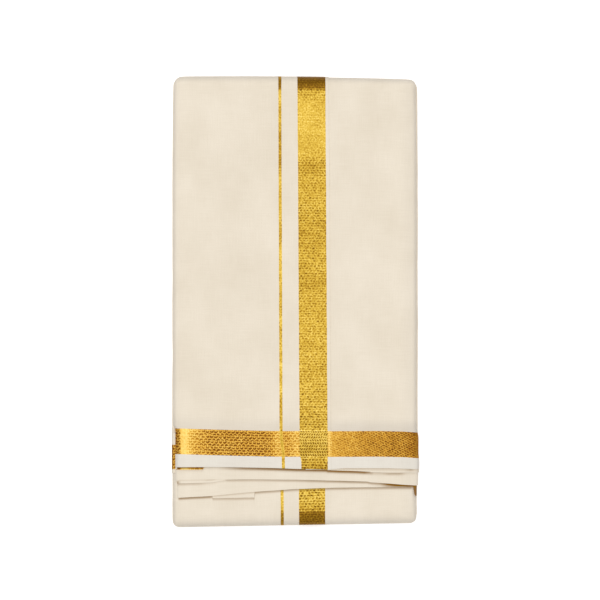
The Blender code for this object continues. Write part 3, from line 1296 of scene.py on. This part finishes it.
@dataclass(frozen=True)
class Crease:
    """How a ply dips, with painted shade on it, where it comes out from under another one's edge.

    Attributes:
        dip: How deep the ply sinks under the upper edge.
        shade: Strength of the painted shade under the upper edge.
        spread: How wide that painted shade is.
        lobe: Painted shade over the whole of the ply's breadth.
        dark: Painted grey shade over the whole of its breadth.
        steps: Place of each row beside the upper edge, and its share of dip and of shade.
    """

    dip: float
    shade: Line
    spread: float = 1.15
    lobe: Line = level(0.0)
    dark: Line = level(0.0)
    steps: tuple = (
        (-0.0034, 0.0, 0.0), (-0.0026, 0.05, 0.05), (-0.0020, 0.2, 0.22),
        (-0.0015, 0.45, 0.62), (-0.0010, 0.8, 0.95), (-0.0005, 1.0, 1.0),
        (0.0, 1.0, 1.0), (0.0008, 1.0, 1.0), (0.0025, 0.6, 1.0),
    )

    def toned(self, share: float) -> Line:
        """Painted shade of a row that has this share of the full shade under the edge."""
        return lambda x: min(1.0, share * self.shade(x) + self.lobe(x))

    def rows(self, over: Line, low: Line, end: Line, half: float) -> Strip:
        """Gives the ply's rows.

        Args:
            over: Edge of the ply that lies on it.
            low: Its own lower edge.
            end: Where it stops, hidden.
            half: Half the packet's height.

        Returns:
            The strip, from the lower edge up.
        """

        def kept(offset: float) -> Line:
            """A line beside the upper edge, kept above the ply's own edge."""
            least = 0.0002 * (4 + offset * 100)
            return lambda x: max(over(x) + offset, low(x) + least)

        beside = [kept(step[0] * self.spread) for step in self.steps]
        body = level_rows(low, beside[0], 5, half).lines[:-1]
        rows = [replace(row, shade=self.toned(0.0), dim=self.dark) for row in body]
        for line, (_, dip, shade) in zip(beside, self.steps):
            row = Row(line, half, dip=self.dip * dip, shade=self.toned(shade), dim=self.dark)
            rows.append(row)
        hidden = level_rows(beside[-1], end, 3, half)
        return joined(Strip(rows, ["field"] * (len(rows) - 1)), hidden)


@dataclass
class FreeStretch:
    """The front: the free end of the cloth and its way up over the top fold."""

    finishes: Finishes
    stitching: float = 0.0010
    hem_dip: float = 0.00025
    hollow_dip: float = 0.0002
    hollow_start: float = 0.014
    hollow_full: float = 0.002

    def hollowed(self, row: Row, band_top: Line) -> Row:
        """Sinks a row a little just above the stiff end band, and paints a faint grey shade on it.

        Args:
            row: The row.
            band_top: Upper edge of its end band.

        Returns:
            The row as it is, or with a faint hollow and painted shade.
        """
        above = row.line(0.0) - band_top(0.0)
        hollow = blend(-above, -self.hollow_start, -self.hollow_full) if above > -0.0002 else 0.0
        if row.reach or hollow <= 0.0:
            return row
        # Painted shade: faint grey over the hollow, a little stronger towards the right.
        dim = lambda x: hollow * (0.11 + 0.07 * blend(x, 0.02, 0.05))
        return replace(row, dip=row.dip + self.hollow_dip * hollow, dim=dim)

    def rows(self, hem: Line, band_top: Line) -> Strip:
        """Rows of a ply, from its hem up and over the top fold.

        Args:
            hem: Its lower edge.
            band_top: Upper edge of its end band.

        Returns:
            The strip.
        """
        half = FORM.height / 2
        stitches = shifted(hem, self.stitching)
        band_low = shifted(band_top, -FREE.band_height)
        strip = joined(
            level_rows(hem, stitches, 2, half, "hem"),
            level_rows(stitches, band_low, 5, half, "hem"),
            level_rows(band_low, band_top, 10, half, "end_band"),
            level_rows(band_top, FORM.top_turn, 110, half),
            turn_rows(FORM.top_turn, FORM.top_reach, half),
        )
        return Strip([self.hollowed(row, band_top) for row in strip.lines], strip.zones)

    def top_ply(self) -> Piece:
        """Top ply, from the left fold to its selvedge, with line and border."""
        rows = self.rows(FREE.hem, FREE.band_top)
        rows.lines[0] = replace(rows.lines[0], dip=self.hem_dip)
        edges = list(WEAVE.edges(True).values())
        start = shifted(FORM.front_left, FORM.side_round)
        bands = [(60, "field"), (3, "line"), (12, "gap"), (12, "border"), (3, "selvedge")]
        columns = joined(
            side_columns(FORM.front_left, Side.LEFT, 62, 10),
            banded_columns([start, *edges], bands),
        )
        piece = ClothSheet("front_ply", rows, columns, zones_front, self.finishes).build()
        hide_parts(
            "front_field", "front_gap", "front_line", "front_border",
            "front_selvedge", "end_band_left", "end_band_gap", "hem_left", "hem_gap",
        )
        return piece

    def under_ply(self) -> Piece:
        """Ply that shows right of the top ply's selvedge."""
        rows = self.rows(FREE.under_hem, FREE.band_top_right)
        edge = WEAVE.edges(True)
        start = shifted(edge["border_left"], 0.004)
        end = shifted(FORM.front_right, -FORM.side_round)
        columns = joined(
            banded_columns([start, edge["selvedge"], end], [(4, "hidden"), (44, "field")]),
            side_columns(FORM.front_right, Side.RIGHT, 62, 10),
        )
        piece = ClothSheet(
            "under_ply", rows, columns, zones_under, self.finishes, depth=0.0005
        ).build()
        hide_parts("under_field", "end_band_right", "hem_right")
        return piece

    def build(self) -> None:
        """Builds both plies."""
        self.top_ply()
        self.under_ply()


def flap_shadow(x: float) -> float:
    """Painted grey shadow on the flap at the right end of the third ply."""
    return blend(x, 0.1084, 0.1092)


@dataclass(frozen=True)
class EndPly:
    """One of the plies that fan out below the hem.

    Attributes:
        name: Name of the piece.
        low: Its own lower edge.
        depth: Depth of its outer face under the packet's face.
        angle: How far it goes down over the long sides, in degrees.
        out: How far it stands out past the top ply's rounding, left and right.
        crease: How it dips, and the painted shade on it, under the edge that lies on it.
        zones: Its woven zones.
    """

    name: str
    low: Line
    depth: float
    angle: float
    out: tuple[float, float]
    crease: Crease
    zones: Callable[[str, str], Zone] = zones_plain


@dataclass
class FannedPlies:
    """Plies of the free end that come out below the hem."""

    finishes: Finishes
    sliver_end: float = -0.0829
    # Painted shade: each table darkens a ply under the edge above it; the third ply's lobe shades
    # its narrow right strip, and its flap is painted as in shadow.
    plies: tuple[EndPly, ...] = (
        EndPly(
            "first_end_ply", FREE.first, 0.0010, 55, (0.0008, 0.0006),
            Crease(0.0003, read_from((
                (-0.1100, 0.40), (-0.1080, 0.75), (-0.0940, 0.60), (-0.0832, 0.75),
                (-0.0820, 0.0), (0.0300, 0.15), (0.0460, 0.30), (0.1000, 0.22),
                (0.1060, 0.45), (0.1100, 0.2),
            )), 1.4),
            zones_sliver,
        ),
        EndPly(
            "second_end_ply", FREE.second, 0.0017, 48, (0.0022, 0.0009),
            Crease(0.0003, read_from((
                (-0.1100, 0.0), (-0.1070, 0.10), (-0.0830, 0.10), (-0.0720, 0.06),
                (-0.0600, 0.40), (-0.0480, 0.72), (-0.0200, 0.88), (0.0400, 0.95),
                (0.0640, 0.90), (0.0700, 0.50), (0.0720, 0.28), (0.0800, 0.25),
                (0.0860, 0.45), (0.0960, 0.45), (0.1020, 0.10), (0.1100, 0.05),
            )), 1.4),
        ),
        EndPly(
            "third_end_ply", FREE.third, 0.0026, 40, (0.0014, 0.0010),
            Crease(0.0003, read_from((
                (-0.1090, 0.0), (-0.1080, 0.34), (-0.0880, 0.30), (-0.0790, 0.12),
                (-0.0700, 0.05), (-0.0640, 0.10), (-0.0620, 0.34), (-0.0300, 0.34),
                (0.0100, 0.46), (0.0460, 0.62), (0.0760, 0.50), (0.1070, 0.70), (0.1090, 0.20),
            )), lobe=read_from((
                (0.0700, 0.0), (0.0780, 0.08), (0.0850, 0.45), (0.0915, 0.62), (0.0980, 0.68),
                (0.1035, 0.82), (0.1072, 0.78), (0.1093, 0.85),
            )), dark=flap_shadow),
        ),
    )

    def columns(self, ply: EndPly) -> Strip:
        """Lines along the packet for a ply that goes right across it.

        Args:
            ply: The ply.

        Returns:
            The strip.
        """

        def bare(y: float) -> float:
            """How far the ply has come clear of the hem, from 0 to 1."""
            return blend(-y, 0.1475, 0.1535)

        def left_edge(y: float) -> float:
            """Left edge of the ply."""
            return FORM.front_left(y) - ply.out[0] * bare(y)

        def right_edge(y: float) -> float:
            """Right edge of the ply."""
            return FORM.front_right(y) + ply.out[1] * bare(y)

        left = side_columns(left_edge, Side.LEFT, ply.angle, 6)
        left.zones = ["end_band"] * len(left.zones)
        start = shifted(left_edge, FORM.side_round)
        end = shifted(right_edge, -FORM.side_round)
        return joined(
            left,
            banded_columns([start, level(self.sliver_end), end], [(14, "end_band"), (190, "field")]),
            side_columns(right_edge, Side.RIGHT, ply.angle, 6),
        )

    def over(self, ply: EndPly, x: float) -> float:
        """The edge that lies on a ply.

        Args:
            ply: The ply.
            x: Place across the packet.

        Returns:
            Its place along the packet.
        """
        if ply.low is FREE.third:
            return FREE.lip(x) if FREE.lip_left < x < FREE.lip_right else FREE.second(x)
        hem = FREE.hem(x) if x < FREE.selvedge_x else FREE.under_hem(x)
        return min(hem, FREE.first(x)) if ply.low is FREE.second else hem

    def build(self) -> None:
        """Builds the plies from the top one down."""
        nodes = {"second_end_ply": "end_ply_second", "third_end_ply": "end_ply_third"}
        for ply in self.plies:
            over = lambda x, ply=ply: self.over(ply, x)
            rows = ply.crease.rows(over, ply.low, level(FREE.hidden_y), FORM.height / 2)
            piece = ClothSheet(
                ply.name, rows, self.columns(ply), ply.zones, self.finishes, ply.depth,
                0.0005, 0.0001, ply.depth * 9000,
            ).build()
            if ply.name in nodes:
                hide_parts(nodes[ply.name])


@dataclass
class OuterTurn:
    """The cloth round the bottom fold, under the free end, and on the back."""

    finishes: Finishes
    # Painted shade on the outer turn under the third ply's edge and the corner's.
    crease: Crease = Crease(0.0002, read_from((
        (-0.1074, 0.0), (-0.1060, 0.72), (-0.0780, 0.66), (-0.0740, 0.36), (-0.0390, 0.40),
        (-0.0360, 0.52), (0.0000, 0.46), (0.0460, 0.55), (0.0700, 0.48), (0.1060, 0.55),
        (0.1085, 0.0),
    )))

    def columns(self) -> Strip:
        """Lines along the packet for the outer turn."""
        edges = list(WEAVE.edges(False).values())[:-1]
        start = shifted(FORM.left_side, FORM.side_round)
        end = shifted(FORM.right_side, -FORM.side_round)
        bands = [(96, "field"), (3, "line"), (6, "gap"), (12, "border"), (60, "field")]
        return joined(
            side_columns(FORM.left_side, Side.LEFT, 62, 10),
            banded_columns([start, *edges, end], bands),
            side_columns(FORM.right_side, Side.RIGHT, 62, 10),
        )

    def over(self, x: float) -> float:
        """Edge of the third ply, or of the corner that peeps out under it."""
        return FREE.corner(x) if FREE.corner_left < x < FREE.corner_right else FREE.third(x)

    def build(self) -> None:
        """Builds the lower turn and the back stretch."""
        half = FORM.lower_height / 2
        turn = turn_rows(FORM.lower_turn, -FORM.lower_reach, half)
        turn.lines.reverse()
        face = self.crease.rows(self.over, FORM.lower_turn, level(FREE.hidden_y), half)
        piece = ClothSheet(
            "lower_turn", joined(turn, face), self.columns(), zones_turn, self.finishes, seed=23.0
        ).build()
        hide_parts("lower_left", "lower_line", "lower_gap", "lower_border", "lower_right")
        back = level_rows(FORM.lower_turn, FORM.top_turn, 60, FORM.height / 2, cosine=-1.0)
        piece = ClothSheet(
            "back_stretch", back, self.columns(), zones_turn, self.finishes, swell=0.0, seed=29.0
        ).build()
        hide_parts("back_left", "back_line", "back_gap", "back_border", "back_right")


@dataclass
class SideFolds:
    """Fold edges of the hidden turns, which show along both long sides.

    Attributes:
        finishes: The materials.
        first: Depth of the outermost of them under the packet's face.
        pitch: Thickness of a folded pair of plies.
        deep: How far a fold goes in under the outer ply.
        scatter: How much one fold stands back from the next.
        waver: How far a fold's edge strays.
        cover: Thickness of the plies round them, which stays as the packet thins.
        front_cells: Cells along the front.
        back_cells: Cells along the back.
        bend_cells: Cells round each end.
        profile: Section of a fold, as shares of its depth and of the pitch.
    """

    finishes: Finishes
    first: float = 0.0040
    pitch: float = 0.00068
    deep: float = 0.0065
    scatter: float = 0.0011
    waver: float = 0.0004
    cover: float = 0.0036
    front_cells: int = 84
    back_cells: int = 60
    bend_cells: int = 12
    profile: tuple = (
        (1.0, -0.44), (0.16, -0.47), (0.07, -0.44), (0.02, -0.30), (0.0, -0.12),
        (0.008, 0.0), (0.0, 0.12), (0.02, 0.30), (0.07, 0.44), (0.16, 0.47), (1.0, 0.44),
    )

    def half_at(self, y: float) -> float:
        """Half the packet's height under the outer ply."""
        step = (FORM.height - FORM.lower_height) / 2
        return FORM.height / 2 - step * blend(-y, 0.116, 0.136)

    def path(self, depth: float, side: Side) -> list[tuple[float, float]]:
        """Gives the way of one fold round the packet.

        Args:
            depth: Its depth under the packet's face.
            side: Which long side it is on.

        Returns:
            Points along and up, as a closed loop.
        """
        full = FORM.height / 2
        top = FORM.top_turn(side.value * FORM.width / 2)
        low = FORM.lower_turn(side.value * FORM.width / 2)

        def scaled(size: float) -> float:
            """The depth where the packet is thinner or stands out further."""
            return self.cover + (depth - self.cover) * (size - self.cover) / (full - self.cover)

        def bend(end: float, sign: float, reach: float, half: float) -> list:
            """Points of the bend at one end, from the front to the back."""
            angles = [math.pi * i / self.bend_cells for i in range(1, self.bend_cells)]
            out = sign * (reach - scaled(reach))
            up = half - scaled(half)
            return [(end + out * math.sin(a), half + up * math.cos(a)) for a in angles]

        down = [top + (low - top) * i / self.front_cells for i in range(self.front_cells + 1)]
        back = [low + (top - low) * i / self.back_cells for i in range(self.back_cells + 1)]
        front = [(y, 2 * self.half_at(y) - scaled(self.half_at(y))) for y in down]
        lower_bend = bend(low, -1.0, FORM.lower_reach, FORM.lower_height / 2)
        under = [(y, scaled(self.half_at(y))) for y in back]
        top_bend = bend(top, 1.0, FORM.top_reach, full)
        return front + lower_bend + under + top_bend[::-1]

    def section(
        self, mesh: bmesh.types.BMesh, place: Vector, across: Vector, side: Side
    ) -> list[bmesh.types.BMVert]:
        """Adds the points of a fold's section.

        Args:
            mesh: The mesh that they go into.
            place: Its outer edge.
            across: Direction of the fold's thickness.
            side: Which long side it is on.

        Returns:
            The points, round the section.
        """
        shade = mesh.verts.layers.float[SHADE]
        ring = []
        for inward, over in self.profile:
            shift = Vector((-side.value * inward * self.deep, 0.0, 0.0))
            vert = mesh.verts.new(place + shift + across * over * self.pitch)
            # Painted shade on the fold's flanks, growing inward, for the crevices between the folds.
            vert[shade] = 0.45 * blend(inward, 0.0, 0.3) * abs(over) / 0.47
            ring.append(vert)
        return ring

    def skin(self, mesh: bmesh.types.BMesh, rings: list, number: int) -> None:
        """Joins a fold's sections into a closed tube.

        Args:
            mesh: The mesh that holds them.
            rings: Their points.
            number: The fold's number, which sets its place on the cloth's map.
        """
        uv = mesh.loops.layers.uv[WEAVE_MAP]
        run = 0.0
        for ring, after in zip(rings, rings[1:] + rings[:1]):
            step = (after[0].co - ring[0].co).length
            for m in range(len(ring)):
                o = (m + 1) % len(ring)
                face = mesh.faces.new((ring[m], ring[o], after[o], after[m]))
                face.smooth = True
                for loop in face.loops:
                    far = loop.vert in (after[o], after[m])
                    turn = m if loop.vert in (ring[m], after[m]) else m + 1
                    loop[uv].uv = (0.004 * turn + 0.05 * number, run + step * far)
            run += step

    def lay_fold(self, mesh: bmesh.types.BMesh, number: int, side: Side) -> float:
        """Adds one fold, right round the packet.

        Args:
            mesh: The mesh that it goes into.
            number: Its number, from the outermost.
            side: Which long side it is on.

        Returns:
            The area of cloth in it.
        """
        outline = FORM.left_side if side is Side.LEFT else FORM.right_side
        depth = self.first + self.pitch * number
        path = self.path(depth, side)
        level_round = FORM.side_round - min(depth, FORM.side_round)
        inset = FORM.side_round - math.sqrt(FORM.side_round**2 - level_round**2)
        stand = self.scatter * (0.5 + 0.5 * math.sin(number * 2.4 + side.value)) ** 1.5
        area = 0.0
        rings = []
        for n, (y, z) in enumerate(path):
            y0, z0 = path[n - 1]
            y1, z1 = path[(n + 1) % len(path)]
            run = math.hypot(y1 - y0, z1 - z0) or 1.0
            across = Vector((0.0, -(z1 - z0) / run, (y1 - y0) / run))
            stray = self.waver * ripple(number * 0.37, y + 0.3 * z, 0.03, 40.0 + side.value)
            edge = outline(y) - side.value * (inset + stand + stray)
            rings.append(self.section(mesh, Vector((edge, y, z)), across, side))
            area += run / 2 * self.deep
        self.skin(mesh, rings, number)
        return area

    def build_side(self, side: Side) -> Piece:
        """Builds the folds of one long side.

        Args:
            side: Which side.

        Returns:
            The piece.
        """
        mesh = bmesh.new()
        mesh.loops.layers.uv.new(WEAVE_MAP)
        mesh.verts.layers.float.new(SHADE)
        count = int((FORM.height / 2 - self.first) / self.pitch) + 1
        area = sum(self.lay_fold(mesh, number, side) for number in range(count))
        name = "left_folds" if side is Side.LEFT else "right_folds"
        piece = finished_piece(name, mesh, [self.finishes.by_zone[Zone.COTTON]], math.pi)
        if side is Side.LEFT:
            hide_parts("inner_folds")
        return piece

    def build(self) -> None:
        """Builds both sides."""
        for side in Side:
            self.build_side(side)


@dataclass
class SmallPlies:
    """Bits of further plies that peep out round the free end.

    Attributes:
        finishes: The materials.
        peep_out: How far the peeping fold stands out at the left side.
        peep_half: Half the height at which its fold lies.
        peep_round: Radius of its fold.
        peep_deep: How far it goes in under the outer plies.
        peep_lines: Its two ends, with its end band between the middle two.
        lip_rise: How far the lip goes up under the second ply's edge.
    """

    finishes: Finishes
    peep_out: float = 0.0008
    peep_half: float = 0.00845
    peep_round: float = 0.0026
    peep_deep: float = 0.0075
    peep_lines: tuple = (-0.1575, -0.1541, -0.1317, -0.1160)
    lip_rise: float = 0.0068

    def peep_edge(self, y: float) -> float:
        """Outer edge of the peeping fold."""
        return -FORM.width / 2 - self.peep_out + 0.0002 * ripple(0, y, 0.008, 51.0)

    def peeping_fold(self) -> Piece:
        """Fold of the next ply, with its gold end band, out at the left side."""
        low, band_low, band_top, top = (level(y) for y in self.peep_lines)
        rows = joined(
            level_rows(low, band_low, 3, self.peep_half),
            level_rows(band_low, band_top, 12, self.peep_half, "end_band"),
            level_rows(band_top, top, 6, self.peep_half),
        )
        start = shifted(self.peep_edge, self.peep_round)
        end = shifted(self.peep_edge, self.peep_deep)
        columns = joined(
            side_columns(self.peep_edge, Side.LEFT, 100, 10, self.peep_round),
            flat_columns(start, end, 3, "field"),
        )
        piece = ClothSheet("peeping_fold", rows, columns, zones_sliver, self.finishes).build()
        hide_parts("end_band_under")
        return piece

    def corner(self) -> Piece:
        """Corner of a fourth ply under the third."""
        # Painted shade on the corner ply under the third ply's edge.
        crease = Crease(0.0001, level(0.22), 0.8)
        rows = crease.rows(FREE.third, FREE.corner, shifted(FREE.third, 0.006), FORM.height / 2)
        columns = flat_columns(level(FREE.corner_left), level(FREE.corner_right), 14, "field")
        piece = ClothSheet(
            "corner_ply", rows, columns, zones_plain, self.finishes, 0.0031, 0.0003,
            0.00008, 61.0,
        ).build()
        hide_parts("end_corner")
        return piece

    def lip_shade(self, number: int) -> Line:
        """Painted shade on the lip's rows, dark at its left tip and under the second ply's edge
        above it.
        """
        tip = 0.80 * blend(number, 5.0, 2.0)
        crease = blend(number, 2.8, 4.4)
        return lambda x: (
            tip * blend(-x, 0.1050, 0.1073)
            + (0.12 + 0.34 * blend(x, -0.086, -0.078)) * crease
        )

    def lip(self) -> Piece:
        """Fold of the second ply that comes out a little at its left end."""
        rows = level_rows(FREE.lip, shifted(FREE.second, self.lip_rise), 16, FORM.height / 2)
        rows.lines = [replace(row, shade=self.lip_shade(n)) for n, row in enumerate(rows.lines)]
        columns = flat_columns(level(FREE.lip_left), level(FREE.lip_right), 22, "field")
        piece = ClothSheet(
            "second_ply_lip", rows, columns, zones_plain, self.finishes, 0.0022, 0.00035,
            0.00006, 67.0,
        ).build()
        return piece

    def build(self) -> None:
        """Builds them."""
        self.peeping_fold()
        self.lip()
        self.corner()


@dataclass
class Studio:
    """Floor, lights and camera.

    Attributes:
        view_width: Width of what the camera takes in at the packet's face, in metres.
        distance: Height of the camera.
        shift_x: Place of the camera across.
        shift_y: Place of the camera along.
        floor_size: Width of the floor.
        floor_tone: Brightness of the floor.
        floor_glow: How much light the floor gives of itself.
        horizon: Strength of the sky at the horizon.
        zenith: Strength of the sky above sky_full.
        sky_full: Height at which the sky reaches its full strength.
        key_power: Strength of the soft key light.
        key_angle: Its breadth, in degrees.
        key_from: The direction that it comes from.
        sensor: Width of the camera's sensor, in millimetres.
    """

    view_width: float = 0.549
    distance: float = 4.2
    shift_x: float = 0.0046
    shift_y: float = 0.0009
    floor_size: float = 8.0
    floor_tone: float = 0.93
    floor_glow: float = 0.35
    horizon: float = 0.28
    zenith: float = 0.87
    sky_full: float = 0.9
    key_power: float = 1.09
    key_angle: float = 40.0
    key_from: tuple = (-0.14, 0.20, 1.0)
    sensor: float = 36.0

    def floor(self) -> None:
        """Lays the floor."""
        bpy.ops.object.select_all(action="DESELECT")
        bpy.ops.mesh.primitive_plane_add(size=self.floor_size, location=(0, 0, 0))
        floor = bpy.context.object
        floor.name = "floor"
        t = Tree("studio_floor")
        t.set(
            Base_Color=(self.floor_tone, self.floor_tone, self.floor_tone, 1),
            Roughness=0.9,
            Emission_Color=(1, 1, 1, 1),
            Emission_Strength=self.floor_glow,
        )
        floor.data.materials.append(t.material)

    def sky(self) -> None:
        """Makes a white sky that is brighter overhead."""
        world = bpy.data.worlds.new("studio")
        world.use_nodes = True
        tree = world.node_tree
        sky = tree.nodes["Background"]
        sky.inputs["Color"].default_value = (1, 1, 1, 1)
        where = tree.nodes.new("ShaderNodeTexCoord")
        split = tree.nodes.new("ShaderNodeSeparateXYZ")
        spread = tree.nodes.new("ShaderNodeMapRange")
        spread.inputs["From Min"].default_value = 0.0
        spread.inputs["From Max"].default_value = self.sky_full
        spread.inputs["To Min"].default_value = self.horizon
        spread.inputs["To Max"].default_value = self.zenith
        tree.links.new(where.outputs["Generated"], split.inputs[0])
        tree.links.new(split.outputs["Z"], spread.inputs["Value"])
        tree.links.new(spread.outputs["Result"], sky.inputs["Strength"])
        bpy.context.scene.world = world

    def key_light(self) -> None:
        """Hangs the soft key light."""
        sun = bpy.data.lights.new("soft_key", "SUN")
        sun.energy = self.key_power
        sun.angle = math.radians(self.key_angle)
        key = bpy.data.objects.new("soft_key", sun)
        key.rotation_euler = Vector(self.key_from).to_track_quat("Z", "Y").to_euler()
        bpy.context.scene.collection.objects.link(key)

    def camera(self) -> None:
        """Sets the camera straight above the packet."""
        scene = bpy.context.scene
        lens = bpy.data.cameras.new("camera")
        lens.sensor_width = self.sensor
        lens.lens = self.sensor * (self.distance - FORM.height) / self.view_width
        lens.clip_end = 50.0
        camera = bpy.data.objects.new("camera", lens)
        camera.location = (self.shift_x, self.shift_y, self.distance)
        scene.collection.objects.link(camera)
        scene.camera = camera

    def build(self) -> None:
        """Builds the studio."""
        bpy.context.scene.view_settings.view_transform = "Standard"
        self.floor()
        self.sky()
        self.key_light()
        self.camera()


def main() -> None:
    """Builds every sub-assembly in order."""
    logging.basicConfig(level=logging.INFO, format="%(name)s: %(message)s")
    finishes = Finishes()
    OuterTurn(finishes).build()
    SideFolds(finishes).build()
    FannedPlies(finishes).build()
    SmallPlies(finishes).build()
    FreeStretch(finishes).build()
    Studio().build()


if __name__ == "__main__":
    main()
